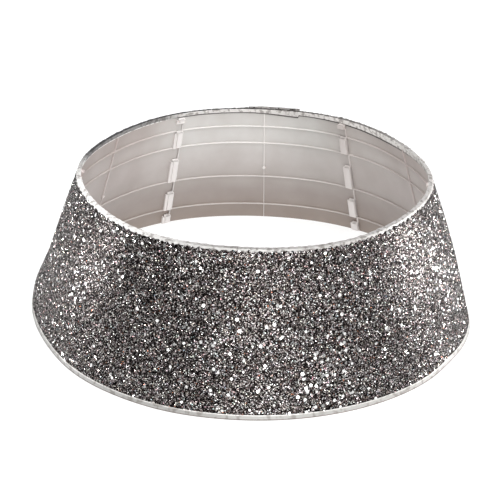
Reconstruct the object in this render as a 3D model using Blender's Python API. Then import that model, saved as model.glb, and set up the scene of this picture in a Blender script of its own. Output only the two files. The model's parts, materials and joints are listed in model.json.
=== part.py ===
"""Christmas tree collar: six wall panels that clip into a ring, in a cloth cover with glitter outside.

Metres, +Z up. The origin is on the floor at the ring's centre, and the cover closes at the back, +Y.
An azimuth runs clockwise from the back, seen from above: azimuth a at radius r is (r sin a, r cos a).
"""
import math

import bmesh
import bpy
from mathutils import Matrix, Vector

# Overall sizes, over the binding tape
BASE_RADIUS = 0.3556
TOP_RADIUS = 0.2764
HEIGHT = 0.2366
STEP = math.radians(5)
LEAST_STEP_SHARE = 0.1
SHARP_ANGLE = math.radians(30)

# Cover: cloth, tape and how they lie
CLOTH = 0.0010
TAPE = 0.0007
LAY_GAP = 0.0003
RIM_SLACK = 0.0010
HEM_SLACK = 0.0078
TAPE_OUTER_LEG = 0.0040
TAPE_RIM_LEG = 0.0080
TAPE_HEM_LEG = 0.0075
CLOTH_LEVEL_SHARES = (0.14, 0.32, 0.52, 0.76)

# Closure: where the flap starts and ends, its slit, ramp and fastener strips
FLAP_START = math.radians(-2.7)
FLAP_END = math.radians(15.6)
FLAP_SLIT = 0.0006
RAMP_ANGLE = math.radians(7.5)
RAMP_STEPS = 6
STRIP_WIDTH = 0.0220
STRIP_EDGE = 0.0060
STRIP_END_GAP = 0.0040

# How the cover departs from a plain cone
BELLY = 0.0030
CALM_ANGLE = math.radians(45)
BULGE = 0.0060
BULGE_AZIMUTH = math.radians(270)
BULGE_ANGLE = math.radians(10)
BULGE_HEIGHT = 0.0350
BULGE_REACH = 0.0350
HEM_WAVE = 0.0045
HEM_WAVE_REACH = 0.0700
# Each wave of the hem: azimuth, half width and its share of HEM_WAVE, outwards
HEM_WAVE_SHARES = (
    (math.radians(88), math.radians(8), -1.0),
    (math.radians(120), math.radians(8), -0.6),
    (math.radians(200), math.radians(10), 0.3),
    (math.radians(245), math.radians(14), -1.0),
    (math.radians(276), math.radians(9), 0.65),
)

# Wall panels
PANEL_COUNT = 6
FIRST_PANEL_AZIMUTH = math.radians(3)
FLATTENING = 0.0020
WALL = 0.0020
SEAM_GAP = 0.0008
BITE = 0.0008
DEEP_BITE = 0.0012
FOOT_CLEARANCE = 0.0010
RIB_HEIGHT_SHARES = (0.1268, 0.3905, 0.6995, 0.8474)
RIB = 0.0018
RIB_DEPTH = 0.0028
CENTRE_RIB = 0.0016
CENTRE_RIB_DEPTH = 0.0020
THIN_RIB = 0.0010
THIN_RIB_DEPTH = 0.0012
NUB_HEIGHT_SHARE = 0.473
NUB_RADIUS = 0.0025
NUB_DEPTH = 0.0035
NUB_SIDES = 12

# Clips: sockets at a panel's clockwise end, hooks that reach over the seam from its neighbour
SOCKET_WIDTH = 0.0110
SOCKET_DEPTH = 0.0050
SOCKET_SET_BACK = 0.0010
POCKET_WIDTH = 0.0050
POCKET_DEPTH = 0.0026
POCKET_FLOOR = 0.0015
POCKET_REACH = 0.0080
CLIP_CLEARANCE = 0.0004
FLANGE = 0.0014
FLANGE_SET_BACK = 0.0005
FLANGE_DEPTH = 0.0025
PLATE = 0.0016
PLATE_REACH = 0.0070
SHOULDER = 0.0036
MOULD_STEP = 0.0002
CLIP_HEADROOM = 0.0005
TOP_CLIP = 0.0110
# How much of the bay above its rib each clip fills, from the floor up
CLIP_HEIGHT_SHARES = (0.655, 0.644, 0.674, 1.026)

AXIS_FOOT = Vector((0, 0, 0))
CLOCKWISE = Vector((0, 0, -1))

# Cloth and tape lie on the line of the cloth's outer face, at an offset outwards from it
CLOTH_BASE_RADIUS = BASE_RADIUS - TAPE - LAY_GAP
CLOTH_TOP_RADIUS = TOP_RADIUS - TAPE - LAY_GAP
CLOTH_TOP = HEIGHT - TAPE - LAY_GAP
CLOTH_FOOT = TAPE + LAY_GAP + LAY_GAP
TAPE_OVER = LAY_GAP + TAPE
HOOK_STRIP_INNER = TAPE_OVER + LAY_GAP
FLAP_INNER = HOOK_STRIP_INNER + TAPE_OVER
FLAP_OUTER = FLAP_INNER + CLOTH
HINGE_OFFSET = FLAP_OUTER + TAPE_OVER

# Panels: outer face, top of the inner features
PANEL_BASE_RADIUS = CLOTH_BASE_RADIUS - CLOTH - HEM_SLACK
PANEL_TOP_RADIUS = CLOTH_TOP_RADIUS - CLOTH - RIM_SLACK
FEATURE_TOP = HEIGHT - TAPE_RIM_LEG - CLIP_HEADROOM
PANEL_ANGLE = math.tau / PANEL_COUNT
MIDDLE_RADIUS = (PANEL_BASE_RADIUS + PANEL_TOP_RADIUS) / 2
HALF_SEAM = SEAM_GAP / 2 / MIDDLE_RADIUS
HALF_PANEL = PANEL_ANGLE / 2
RIB_HEIGHTS = [HEIGHT * share for share in RIB_HEIGHT_SHARES]
NUB_HEIGHT = HEIGHT * NUB_HEIGHT_SHARE


def on_line(base, top, height):
    """Radius at a height of the line from base, at the floor, to top, at the collar's full height."""
    return base + (top - base) * height / HEIGHT


def lobe(azimuth):
    """How far out of round the ring is: the panels bow less than a circle, so their ends stand out."""
    return -FLATTENING * math.cos(PANEL_COUNT * azimuth)


def panel_face(height):
    """Radius of the panels' inner face."""
    return on_line(PANEL_BASE_RADIUS, PANEL_TOP_RADIUS, height) - WALL


def cloth_face(height):
    """Radius of the cloth's outer face before it swells."""
    return on_line(CLOTH_BASE_RADIUS, CLOTH_TOP_RADIUS, height)


def bump(distance, reach):
    """One at no distance, falling smoothly to nothing past the reach."""
    return math.exp(-(distance / reach) ** 2)


def smooth(share):
    """Smooth step from 0 to 1."""
    share = min(max(share, 0), 1)
    return share * share * (3 - 2 * share)


def swell(azimuth, height):
    """How far the cover stands out from its cone: belly, bulge and waves of the hem, none at the closure."""
    middle = (FLAP_START + FLAP_END) / 2
    aside = abs((azimuth - middle + math.pi) % math.tau - math.pi) - (FLAP_END - middle)
    belly = BELLY * math.sin(math.pi * height / HEIGHT)
    bulge = BULGE * bump(azimuth - BULGE_AZIMUTH, BULGE_ANGLE) * bump(height - BULGE_HEIGHT, BULGE_REACH)
    waves = sum(share * bump(azimuth - centre, width) for centre, width, share in HEM_WAVE_SHARES)
    hem = HEM_WAVE * waves * bump(height, HEM_WAVE_REACH)
    return smooth(aside / CALM_ANGLE) * (belly + bulge + hem)


def ramp(azimuth):
    """How far the cover's far end is lifted, to run flush into the flap."""
    end = FLAP_START + math.tau
    return FLAP_OUTER * smooth((azimuth - end + RAMP_ANGLE) / RAMP_ANGLE)


def cover_shift(azimuth, height, radius):
    """Outward shift of a point of the cover. What lies inside the rim keeps to the panels."""
    round_off = lobe(azimuth - FIRST_PANEL_AZIMUTH)
    if radius < panel_face(height) + WALL:
        return round_off
    return round_off * height / HEIGHT + swell(azimuth, height) + ramp(azimuth)


def panel_shift(azimuth, height, radius):
    """Outward shift of a point of the panel whose middle is at azimuth 0."""
    return lobe(azimuth)


def stations(start, end, phase):
    """Azimuths from start to end with the ring's own steps between them, so that all layers keep in step."""
    first = math.floor((start - phase) / STEP) + 1
    last = math.ceil((end - phase) / STEP)
    inner = [phase + index * STEP for index in range(first, last)]
    least = STEP * LEAST_STEP_SHARE
    return [start, *(value for value in inner if start + least < value < end - least), end]


def point(azimuth, radius, height):
    """A point in space."""
    return Vector((radius * math.sin(azimuth), radius * math.cos(azimuth), height))


def band(name, section, azimuths, shift):
    """A section of (radius, height) points, turned through the azimuths and shifted outwards."""
    mesh = bmesh.new()
    place = mesh.verts.layers.float.new("azimuth")
    corners = [mesh.verts.new(point(azimuths[0], radius, height)) for radius, height in section]
    face = mesh.faces.new(corners)
    for vertex in corners:
        vertex[place] = azimuths[0]
    for before, after in zip(azimuths, azimuths[1:]):
        turned = bmesh.ops.spin(mesh, geom=[face, *face.edges, *face.verts], cent=AXIS_FOOT,
                                axis=CLOCKWISE, angle=after - before, steps=1)
        face = next(item for item in turned["geom_last"] if isinstance(item, bmesh.types.BMFace))
        for vertex in face.verts:
            vertex[place] = after
    for vertex in mesh.verts:
        radius = vertex.co.xy.length
        moved = radius + shift(vertex[place], vertex.co.z, radius)
        vertex.co = point(vertex[place], moved, vertex.co.z)
    mesh.verts.layers.float.remove(place)
    bmesh.ops.recalc_face_normals(mesh, faces=mesh.faces)
    return make_object(name, mesh)


def make_object(name, mesh):
    """An object for a finished bmesh, shaded smooth across its gentle edges."""
    data = bpy.data.meshes.new(name)
    mesh.to_mesh(data)
    mesh.free()
    shade(data)
    return bpy.data.objects.new(name, data)


def shade(data):
    """Smooth shading with sharp edges kept."""
    data.shade_smooth()
    data.set_sharp_from_angle(angle=SHARP_ANGLE)


def on_wall(azimuth, across, deep, height):
    """A point on the panels' inner wall: across clockwise, deep inwards from the wall's face."""
    radius = panel_face(height) + lobe(azimuth) - deep
    return point(azimuth, radius, height) + across * Vector((math.cos(azimuth), -math.sin(azimuth), 0))


def raised(name, azimuth, outline, low, high):
    """An outline of (across, deep) points on the inner wall, raised between two heights as the wall leans."""
    mesh = bmesh.new()
    foot = mesh.faces.new([mesh.verts.new(on_wall(azimuth, across, deep, low)) for across, deep in outline])
    grown = bmesh.ops.extrude_face_region(mesh, geom=[foot])
    lean = on_wall(azimuth, 0, 0, high) - on_wall(azimuth, 0, 0, low)
    moved = [item for item in grown["geom"] if isinstance(item, bmesh.types.BMVert)]
    bmesh.ops.translate(mesh, verts=moved, vec=lean)
    bmesh.ops.recalc_face_normals(mesh, faces=mesh.faces)
    return make_object(name, mesh)


def block(name, azimuth, across, deep, high):
    """A box on the inner wall that leans as the wall does. Each size is a pair, from and to."""
    outline = [(across[0], deep[0]), (across[1], deep[0]), (across[1], deep[1]), (across[0], deep[1])]
    return raised(name, azimuth, outline, *high)


def wall():
    """A panel's plain wall."""
    section = [(panel_face(0), 0), (panel_face(0) + WALL, 0),
               (panel_face(CLOTH_TOP) + WALL, CLOTH_TOP), (panel_face(CLOTH_TOP), CLOTH_TOP)]
    ends = HALF_PANEL - HALF_SEAM
    return band("panel_wall", section, stations(-ends, ends, 0), panel_shift)


def ribs():
    """The ribs that run round inside the panel, from its hook end to its sockets."""
    made = []
    for height in RIB_HEIGHTS:
        outer = panel_face(height) + BITE
        inner = panel_face(height) - RIB_DEPTH
        low = height - RIB / 2
        high = height + RIB / 2
        section = [(inner, low), (outer, low), (outer, high), (inner, high)]
        start = (SEAM_GAP / 2 + FLANGE / 2) / panel_face(height) - HALF_PANEL
        end = HALF_PANEL - (SOCKET_SET_BACK + SOCKET_WIDTH - BITE) / panel_face(height)
        made.append(band("rib", section, stations(start, end, 0), panel_shift))
    return made


def centre_rib():
    """The upright rib down the panel's middle, thinner below its round nub."""
    upper = block("centre_rib", 0, (-CENTRE_RIB / 2, CENTRE_RIB / 2), (-BITE, CENTRE_RIB_DEPTH),
                  (NUB_HEIGHT - NUB_RADIUS / 2, FEATURE_TOP))
    lower = block("thin_rib", 0, (-THIN_RIB / 2, THIN_RIB / 2), (-DEEP_BITE, THIN_RIB_DEPTH),
                  (FOOT_CLEARANCE, NUB_HEIGHT + NUB_RADIUS / 2))
    mesh = bmesh.new()
    bmesh.ops.create_cone(mesh, cap_ends=True, segments=NUB_SIDES, radius1=NUB_RADIUS, radius2=NUB_RADIUS,
                          depth=1)
    for vertex in mesh.verts:
        deep = NUB_DEPTH if vertex.co.z > 0 else -WALL / 2
        vertex.co = on_wall(0, vertex.co.x, deep, NUB_HEIGHT + vertex.co.y)
    bmesh.ops.recalc_face_normals(mesh, faces=mesh.faces)
    return [upper, lower, make_object("nub", mesh)]


def clip_heights():
    """Bottom and top of each clip: one on the foot, one on each rib but the highest, one under the rim."""
    bottoms = [FOOT_CLEARANCE, *RIB_HEIGHTS[:-1]]
    bays = zip(bottoms, RIB_HEIGHTS, CLIP_HEIGHT_SHARES)
    standing = [(bottom, bottom + (rib - bottom) * share) for bottom, rib, share in bays]
    return [*standing, (FEATURE_TOP - TOP_CLIP, FEATURE_TOP)]


def socket_top(clip_top):
    """The socket ends below the hook's shoulder."""
    return clip_top - SHOULDER - CLIP_CLEARANCE


def pocket_reach(bottom, top):
    """How deep the pocket goes, as far as the socket's floor allows."""
    return min(POCKET_REACH, socket_top(top) - bottom - POCKET_FLOOR)


def pocket_across():
    """The pocket's two sides, across from the seam: it lies in the middle of the socket."""
    middle = -SOCKET_SET_BACK - SOCKET_WIDTH / 2
    return middle - POCKET_WIDTH / 2, middle + POCKET_WIDTH / 2


def pocket_deep():
    """The pocket's back and front, inwards from the wall."""
    front = (SOCKET_DEPTH + POCKET_DEPTH) / 2
    return front - POCKET_DEPTH, front


def inset(pair, clearance):
    """A pair of ends drawn in by a clearance."""
    return pair[0] + clearance, pair[1] - clearance


def sockets():
    """The sockets at the panel's clockwise end, and the pockets to cut into them."""
    solids = []
    pockets = []
    across = (-SOCKET_SET_BACK - SOCKET_WIDTH, -SOCKET_SET_BACK)
    for bottom, top in clip_heights():
        mouth = socket_top(top)
        solids.append(block("socket", HALF_PANEL, across, (-DEEP_BITE, SOCKET_DEPTH), (bottom, mouth)))
        floor = mouth - pocket_reach(bottom, top)
        pockets.append(block("pocket", HALF_PANEL, pocket_across(), pocket_deep(), (floor, mouth + BITE)))
    return solids, pockets


def hooks():
    """The flange at the panel's other end, with hooks that reach over the seam into the next sockets."""
    near = SEAM_GAP / 2 + FLANGE_SET_BACK
    far = near + FLANGE
    back = SOCKET_DEPTH + CLIP_CLEARANCE
    front = back + PLATE
    web = [(near - MOULD_STEP, -DEEP_BITE), (far + MOULD_STEP, -DEEP_BITE), (far + MOULD_STEP, front),
           (-PLATE_REACH, front), (-PLATE_REACH, back), (near - MOULD_STEP, back)]
    shoulder = (pocket_across()[0], near), (pocket_deep()[0], front - MOULD_STEP)
    tongue = inset(pocket_across(), CLIP_CLEARANCE), inset(pocket_deep(), CLIP_CLEARANCE)
    made = [block("flange", -HALF_PANEL, (near, far), (-BITE, FLANGE_DEPTH), (FOOT_CLEARANCE, FEATURE_TOP))]
    for bottom, top in clip_heights():
        mouth = socket_top(top)
        tip = mouth - pocket_reach(bottom, top) + CLIP_CLEARANCE
        made.append(raised("web", -HALF_PANEL, web, bottom + RIB, top))
        made.append(block("shoulder", -HALF_PANEL, *shoulder, (top - SHOULDER, top - MOULD_STEP)))
        made.append(block("tongue", -HALF_PANEL, *tongue, (tip, top - SHOULDER / 2)))
    return made


def collect(name, objects):
    """A new collection that holds the objects."""
    group = bpy.data.collections.new(name)
    bpy.context.scene.collection.children.link(group)
    for item in objects:
        group.objects.link(item)
    return group


def panel_mesh():
    """One panel: its wall joined with all that is moulded on it, and the pockets cut out."""
    body = wall()
    solids, pockets = sockets()
    joined = [*ribs(), *centre_rib(), *solids, *hooks()]
    groups = [collect("moulded", joined), collect("pockets", pockets), collect("body", [body])]
    for operation, group in (("UNION", groups[0]), ("DIFFERENCE", groups[1])):
        step = body.modifiers.new(operation.lower(), "BOOLEAN")
        step.operation = operation
        step.operand_type = "COLLECTION"
        step.collection = group
        step.solver = "EXACT"
    seen = body.evaluated_get(bpy.context.evaluated_depsgraph_get())
    data = bpy.data.meshes.new_from_object(seen)
    data.name = "frame_panel"
    for item in (body, *joined, *pockets):
        bpy.data.objects.remove(item)
    for group in groups:
        bpy.data.collections.remove(group)
    shade(data)
    return data


def frame_panels():
    """The six panels, which share one mesh."""
    data = panel_mesh()
    made = []
    for index in range(PANEL_COUNT):
        panel = bpy.data.objects.new(f"frame_panel_{index + 1}", data)
        panel.rotation_euler.z = -(FIRST_PANEL_AZIMUTH + index * PANEL_ANGLE)
        made.append(panel)
    return made


def cover_stations():
    """Azimuths once round the cover, closer together where its far end ramps up."""
    end = FLAP_START + math.tau
    start_ramp = end - RAMP_ANGLE
    plain = stations(FLAP_START, start_ramp, FIRST_PANEL_AZIMUTH)
    climb = [start_ramp + RAMP_ANGLE * index / RAMP_STEPS for index in range(1, RAMP_STEPS + 1)]
    return [*plain, *climb]


def flap_stations():
    """Azimuths across the flap, from its slit to its free end, with a station at each edge of the strips."""
    start = FLAP_START + FLAP_SLIT / CLOTH_TOP_RADIUS
    strip_start, strip_end = strip_edges()
    return [*stations(start, strip_start, FIRST_PANEL_AZIMUTH)[:-1],
            *stations(strip_start, strip_end, FIRST_PANEL_AZIMUTH)[:-1],
            *stations(strip_end, FLAP_END, FIRST_PANEL_AZIMUTH)]


def cloth_section(offset):
    """The cloth's section with its outer face at an offset, with a few levels for its belly."""
    levels = [HEIGHT * share for share in CLOTH_LEVEL_SHARES]
    heights = [CLOTH_FOOT, LAY_GAP + TAPE_HEM_LEG, *levels, HEIGHT - TAPE_OUTER_LEG, CLOTH_TOP]
    inner = [(cloth_face(height) + offset - CLOTH, height) for height in heights]
    outer = [(cloth_face(height) + offset, height) for height in reversed(heights)]
    return [*inner, *outer]


def hem_tape_section(offset):
    """Tape folded round the cloth's lower edge."""
    low = LAY_GAP
    top = low + TAPE_HEM_LEG
    return fold_section(offset, low, low + TAPE, top)


def fold_section(offset, edge, inside, leg_end):
    """Tape folded over an edge of the cloth, both legs as long."""
    outer = offset + TAPE_OVER
    inner = offset - CLOTH - TAPE_OVER
    points = [(inner, leg_end), (inner, edge), (outer, edge), (outer, leg_end),
              (outer - TAPE, leg_end), (outer - TAPE, inside), (inner + TAPE, inside), (inner + TAPE, leg_end)]
    return [(cloth_face(height) + across, height) for across, height in points]


def rim_tape_section():
    """Tape folded over the cloth and the panels' rim, with a longer leg inside."""
    leg_end = HEIGHT - TAPE_RIM_LEG
    outer_end = HEIGHT - TAPE_OUTER_LEG
    inside = HEIGHT - TAPE
    return [(panel_face(leg_end) - TAPE_OVER, leg_end), (panel_face(HEIGHT) - TAPE_OVER, HEIGHT),
            (cloth_face(HEIGHT) + TAPE_OVER, HEIGHT), (cloth_face(outer_end) + TAPE_OVER, outer_end),
            (cloth_face(outer_end) + LAY_GAP, outer_end), (cloth_face(inside) + LAY_GAP, inside),
            (panel_face(inside) - LAY_GAP, inside), (panel_face(leg_end) - LAY_GAP, leg_end)]


def strip_section(inner):
    """A fastener strip's section between the two tapes."""
    low = LAY_GAP + TAPE_HEM_LEG + STRIP_END_GAP
    high = HEIGHT - TAPE_RIM_LEG - STRIP_END_GAP
    return [(cloth_face(low) + inner, low), (cloth_face(low) + inner + TAPE, low),
            (cloth_face(high) + inner + TAPE, high), (cloth_face(high) + inner, high)]


def strip_edges():
    """Azimuths of a fastener strip's two edges, near the flap's free end."""
    end = FLAP_END - STRIP_EDGE / CLOTH_BASE_RADIUS
    return end - STRIP_WIDTH / CLOTH_BASE_RADIUS, end


def strip_stations():
    """Azimuths across a fastener strip."""
    return stations(*strip_edges(), FIRST_PANEL_AZIMUTH)


def cover_pieces():
    """The cloth once round the ring, its tapes and the loop half of the fastener."""
    around = cover_stations()
    return [
        band("glitter_cover", cloth_section(0), around, cover_shift),
        band("top_binding", rim_tape_section(), around, cover_shift),
        band("bottom_binding", hem_tape_section(0), around, cover_shift),
        band("loop_strip", strip_section(LAY_GAP), strip_stations(), cover_shift),
    ]


def flap_pieces():
    """The end that lies over and peels open, its tapes and the hook half of the fastener."""
    across = flap_stations()
    rim = fold_section(FLAP_OUTER, HEIGHT, HEIGHT - TAPE, HEIGHT - TAPE_OUTER_LEG)
    return [
        band("closure_flap", cloth_section(FLAP_OUTER), across, cover_shift),
        band("flap_top_binding", rim, across, cover_shift),
        band("flap_bottom_binding", hem_tape_section(FLAP_OUTER), across, cover_shift),
        band("hook_strip", strip_section(HOOK_STRIP_INNER), strip_stations(), cover_shift),
    ]


def hinge_matrix():
    """The line that the flap peels about: up the cone at the flap's start, on the tapes' outermost face."""
    foot = point(FLAP_START, cloth_face(0) + HINGE_OFFSET, 0)
    sway = lobe(FLAP_START - FIRST_PANEL_AZIMUTH)
    head = point(FLAP_START, cloth_face(HEIGHT) + HINGE_OFFSET + sway, HEIGHT)
    turn = (head - foot).to_track_quat("Z", "Y").to_matrix().to_4x4()
    return Matrix.Translation(foot) @ turn


def hold(name, matrix, pieces):
    """An empty on a joint's axis, with the pieces that move about it as its children."""
    empty = bpy.data.objects.new(name, None)
    empty.matrix_world = matrix
    for piece in pieces:
        piece.parent = empty
        piece.matrix_parent_inverse = matrix.inverted()
    return empty


def material(name, colour, roughness, metallic):
    """A plain Principled finish."""
    finish = bpy.data.materials.new(name)
    finish.use_nodes = True
    shader = finish.node_tree.nodes["Principled BSDF"]
    shader.inputs["Base Color"].default_value = (*colour, 1)
    shader.inputs["Roughness"].default_value = roughness
    shader.inputs["Metallic"].default_value = metallic
    return finish


FINISHES = {
    "panel": ("moulded_plastic", (0.72, 0.68, 0.66), 0.45, 0),
    "cloth": ("glitter_cloth", (0.17, 0.15, 0.15), 0.40, 0.6),
    "binding": ("silver_tape", (0.62, 0.61, 0.60), 0.35, 0.7),
    "strip": ("hook_and_loop", (0.80, 0.80, 0.78), 0.90, 0),
}


def finish_of(name):
    """The finish that a node's name asks for."""
    for key, finish in FINISHES.items():
        if key in name:
            return finish
    return FINISHES["cloth"]


def dress(pieces):
    """Give each piece its own material."""
    for piece in pieces:
        title, colour, roughness, metallic = finish_of(piece.name)
        own = material(f"{title}_{piece.name}", colour, roughness, metallic)
        if piece.data.materials:
            piece.material_slots[0].link = "OBJECT"
            piece.material_slots[0].material = own
        else:
            piece.data.materials.append(own)


def build():
    """Model the collar."""
    for item in list(bpy.data.objects):
        bpy.data.objects.remove(item)
    panels = frame_panels()
    cover = cover_pieces()
    flap = flap_pieces()
    pieces = [*panels, *cover, *flap]
    dress(pieces)
    hinge = hold("flap_peel_axis", hinge_matrix(), flap)
    lift = hold("cover_lift_axis", Matrix.Identity(4), [*cover, hinge])
    collect("christmas_tree_collar", [*pieces, hinge, lift])


build()
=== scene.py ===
"""Looks of the christmas tree collar: ribbed plastic wall panels in a glitter cloth cover bound with silver tape.

Metres, +Z up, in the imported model's frame. The collar stands on the floor and closes at the back, +Y.
An azimuth runs clockwise from the back, seen from above: azimuth a at radius r is (r sin a, r cos a).
"""
from __future__ import annotations

import json
import logging
import math
from collections.abc import Callable, Mapping, Sequence
from dataclasses import dataclass, field
from enum import Enum

import bmesh
import bpy
import numpy as np
from mathutils import Matrix, Vector

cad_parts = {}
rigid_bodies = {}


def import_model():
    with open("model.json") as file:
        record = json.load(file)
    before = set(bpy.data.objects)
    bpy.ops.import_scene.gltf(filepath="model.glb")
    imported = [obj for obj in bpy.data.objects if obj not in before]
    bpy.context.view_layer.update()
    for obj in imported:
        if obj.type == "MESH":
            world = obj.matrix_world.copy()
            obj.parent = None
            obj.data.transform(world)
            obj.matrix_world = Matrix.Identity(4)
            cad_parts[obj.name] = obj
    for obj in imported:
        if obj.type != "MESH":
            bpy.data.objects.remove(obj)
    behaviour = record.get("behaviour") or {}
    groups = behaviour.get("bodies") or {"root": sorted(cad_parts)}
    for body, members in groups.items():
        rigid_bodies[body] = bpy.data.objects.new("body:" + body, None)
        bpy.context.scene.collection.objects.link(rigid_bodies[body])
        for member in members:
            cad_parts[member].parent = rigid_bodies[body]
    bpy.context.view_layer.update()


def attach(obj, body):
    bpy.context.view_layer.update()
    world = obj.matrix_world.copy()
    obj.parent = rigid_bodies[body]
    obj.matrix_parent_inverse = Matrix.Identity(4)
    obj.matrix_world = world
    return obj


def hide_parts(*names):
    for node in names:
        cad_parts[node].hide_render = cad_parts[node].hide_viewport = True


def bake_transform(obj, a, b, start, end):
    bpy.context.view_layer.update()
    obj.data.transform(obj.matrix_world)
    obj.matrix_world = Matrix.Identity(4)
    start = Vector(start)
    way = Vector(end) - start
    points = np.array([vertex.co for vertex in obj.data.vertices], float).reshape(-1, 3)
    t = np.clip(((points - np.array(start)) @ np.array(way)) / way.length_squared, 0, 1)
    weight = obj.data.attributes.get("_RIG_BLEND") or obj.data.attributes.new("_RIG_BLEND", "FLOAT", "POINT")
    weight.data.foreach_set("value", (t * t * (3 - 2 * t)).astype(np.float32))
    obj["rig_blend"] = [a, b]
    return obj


LOG = logging.getLogger("collar")
MM = 0.001
SHARP_ANGLE = math.radians(35)
# Names of what the meshes carry for their materials
FLAKE_COLOUR = "flake_colour"
# How much lighter a point of the panels is painted: the thicker plastic's milkier colour, and painted light on ribs
# and clips
MILKY_AND_LIT = "milky_and_lit_amount"
COPY = "copy"
LAY_MAP = "lay"
BAKE_MAP = "OFBake"


class Body(Enum):
    """The bodies of the frame that pieces ride on."""

    FRAME = "frame"
    COVER = "cover"
    FLAP = "closure_flap"


class Slot(Enum):
    """The record's material slots."""

    PANEL = "panel_plastic"
    CLOTH = "glitter_cloth"
    TAPE = "silver_tape"
    FASTENER = "hook_and_loop"


def linear(colour: str) -> tuple[float, float, float, float]:
    """Turn an sRGB hex colour such as "#d7d3ce" into linear RGBA."""
    shares = [int(colour[place:place + 2], 16) / 255 for place in (1, 3, 5)]
    low_end, low_slope, offset, gamma = 0.04045, 12.92, 0.055, 2.4
    parts = [share / low_slope if share <= low_end else ((share + offset) / (1 + offset)) ** gamma
             for share in shares]
    return (*parts, 1.0)


@dataclass(frozen=True)
class Wave:
    """One wave of the hem: where it is, its half width, and its share of the hem's wave, outwards."""

    azimuth: float
    half_width: float
    share: float


@dataclass(frozen=True)
class CollarShape:
    """The collar's cone and how its layers lie on it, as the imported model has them."""

    base_radius: float = 0.3556
    top_radius: float = 0.2764
    height: float = 0.2366
    cloth: float = 0.0010
    tape: float = 0.0007
    lay_gap: float = 0.0003
    rim_slack: float = 0.0010
    hem_slack: float = 0.0078
    outer_leg: float = 0.0040
    rim_leg: float = 0.0080
    hem_leg: float = 0.0075
    wall: float = 0.0020
    flap_start: float = math.radians(-2.7)
    flap_end: float = math.radians(15.6)
    flap_slit: float = 0.0006
    ramp_angle: float = math.radians(7.5)
    calm_angle: float = math.radians(45)
    belly: float = 0.0030
    bulge: float = 0.0060
    bulge_azimuth: float = math.radians(270)
    bulge_angle: float = math.radians(10)
    bulge_height: float = 0.0350
    bulge_reach: float = 0.0350
    hem_wave: float = 0.0045
    hem_wave_reach: float = 0.0700
    hem_waves: tuple[Wave, ...] = (
        Wave(math.radians(88), math.radians(8), -1.0),
        Wave(math.radians(120), math.radians(8), -0.6),
        Wave(math.radians(200), math.radians(10), 0.3),
        Wave(math.radians(245), math.radians(14), -1.0),
        Wave(math.radians(276), math.radians(9), 0.65),
    )
    panel_count: int = 6
    first_panel: float = math.radians(3)
    flattening: float = 0.0020

    @property
    def tape_over(self) -> float:
        """How far a tape's outer face stands off what it covers."""
        return self.lay_gap + self.tape

    @property
    def cloth_radii(self) -> tuple[float, float]:
        """Radii of the cloth's outer face at the floor and at full height."""
        return self.base_radius - self.tape_over, self.top_radius - self.tape_over

    @property
    def flap_outer(self) -> float:
        """Offset of the flap's outer face from the cloth that lies under it."""
        return self.lay_gap + 2 * self.tape_over + self.cloth

    @property
    def flap_inner(self) -> float:
        """Offset of the flap's inner face."""
        return self.flap_outer - self.cloth

    @property
    def slant(self) -> float:
        """Length of the cover's slope from hem to rim."""
        return math.hypot(self.base_radius - self.top_radius, self.height)

    def on_line(self, base: float, top: float, height: np.ndarray | float) -> np.ndarray | float:
        """Radius at a height of the straight line from base, at the floor, to top, at full height."""
        return base + (top - base) * height / self.height

    def cloth_face(self, height: np.ndarray | float) -> np.ndarray | float:
        """Radius of the cloth's outer face before it swells."""
        return self.on_line(*self.cloth_radii, height)

    def panel_face(self, height: np.ndarray | float) -> np.ndarray | float:
        """Radius of the panels' inner face."""
        base, top = self.cloth_radii
        inner = self.cloth + self.wall
        return self.on_line(base - self.hem_slack - inner, top - self.rim_slack - inner, height)

    def lobe(self, azimuth: np.ndarray | float) -> np.ndarray | float:
        """How far out of round the ring is: the panels bow less than a circle does."""
        return -self.flattening * np.cos(self.panel_count * (azimuth - self.first_panel))

    @staticmethod
    def bump(distance: np.ndarray, reach: float) -> np.ndarray:
        """One at no distance, falling smoothly to nothing past the reach."""
        return np.exp(-(distance / reach) ** 2)

    @staticmethod
    def smooth(share: np.ndarray) -> np.ndarray:
        """Smooth step from 0 to 1."""
        share = np.clip(share, 0, 1)
        return share * share * (3 - 2 * share)

    def swell(self, azimuth: np.ndarray, height: np.ndarray) -> np.ndarray:
        """How far the cover stands out from its cone, none at the closure."""
        middle = (self.flap_start + self.flap_end) / 2
        aside = np.abs((azimuth - middle + math.pi) % math.tau - math.pi) - (self.flap_end - middle)
        belly = self.belly * np.sin(math.pi * np.clip(height / self.height, 0, 1))
        bulge = self.bulge * self.bump(azimuth - self.bulge_azimuth, self.bulge_angle)
        bulge = bulge * self.bump(height - self.bulge_height, self.bulge_reach)
        waves = sum(wave.share * self.bump(azimuth - wave.azimuth, wave.half_width) for wave in self.hem_waves)
        hem = self.hem_wave * waves * self.bump(height, self.hem_wave_reach)
        return self.smooth(aside / self.calm_angle) * (belly + bulge + hem)

    def ramp(self, azimuth: np.ndarray) -> np.ndarray:
        """How far the cover's far end is lifted, to run flush into the flap."""
        end = self.flap_start + math.tau
        return self.flap_outer * self.smooth((azimuth - end + self.ramp_angle) / self.ramp_angle)

    def cover_shift(self, azimuth: np.ndarray, height: np.ndarray) -> np.ndarray:
        """Outward shift of a point of the cover outside the panels."""
        lean = self.lobe(azimuth) * height / self.height
        return lean + self.swell(azimuth, height) + self.ramp(azimuth)

    @staticmethod
    def place(azimuth: np.ndarray, radius: np.ndarray, height: np.ndarray) -> np.ndarray:
        """Points in space, one row each."""
        return np.stack([radius * np.sin(azimuth), radius * np.cos(azimuth), height + 0 * radius], axis=-1)

    def on_cover(self, azimuth: np.ndarray, offset: np.ndarray, height: np.ndarray) -> np.ndarray:
        """Points at an offset outwards from the cloth's outer face."""
        radius = self.cloth_face(height) + offset + self.cover_shift(azimuth, height)
        return self.place(azimuth, radius, height)

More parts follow.
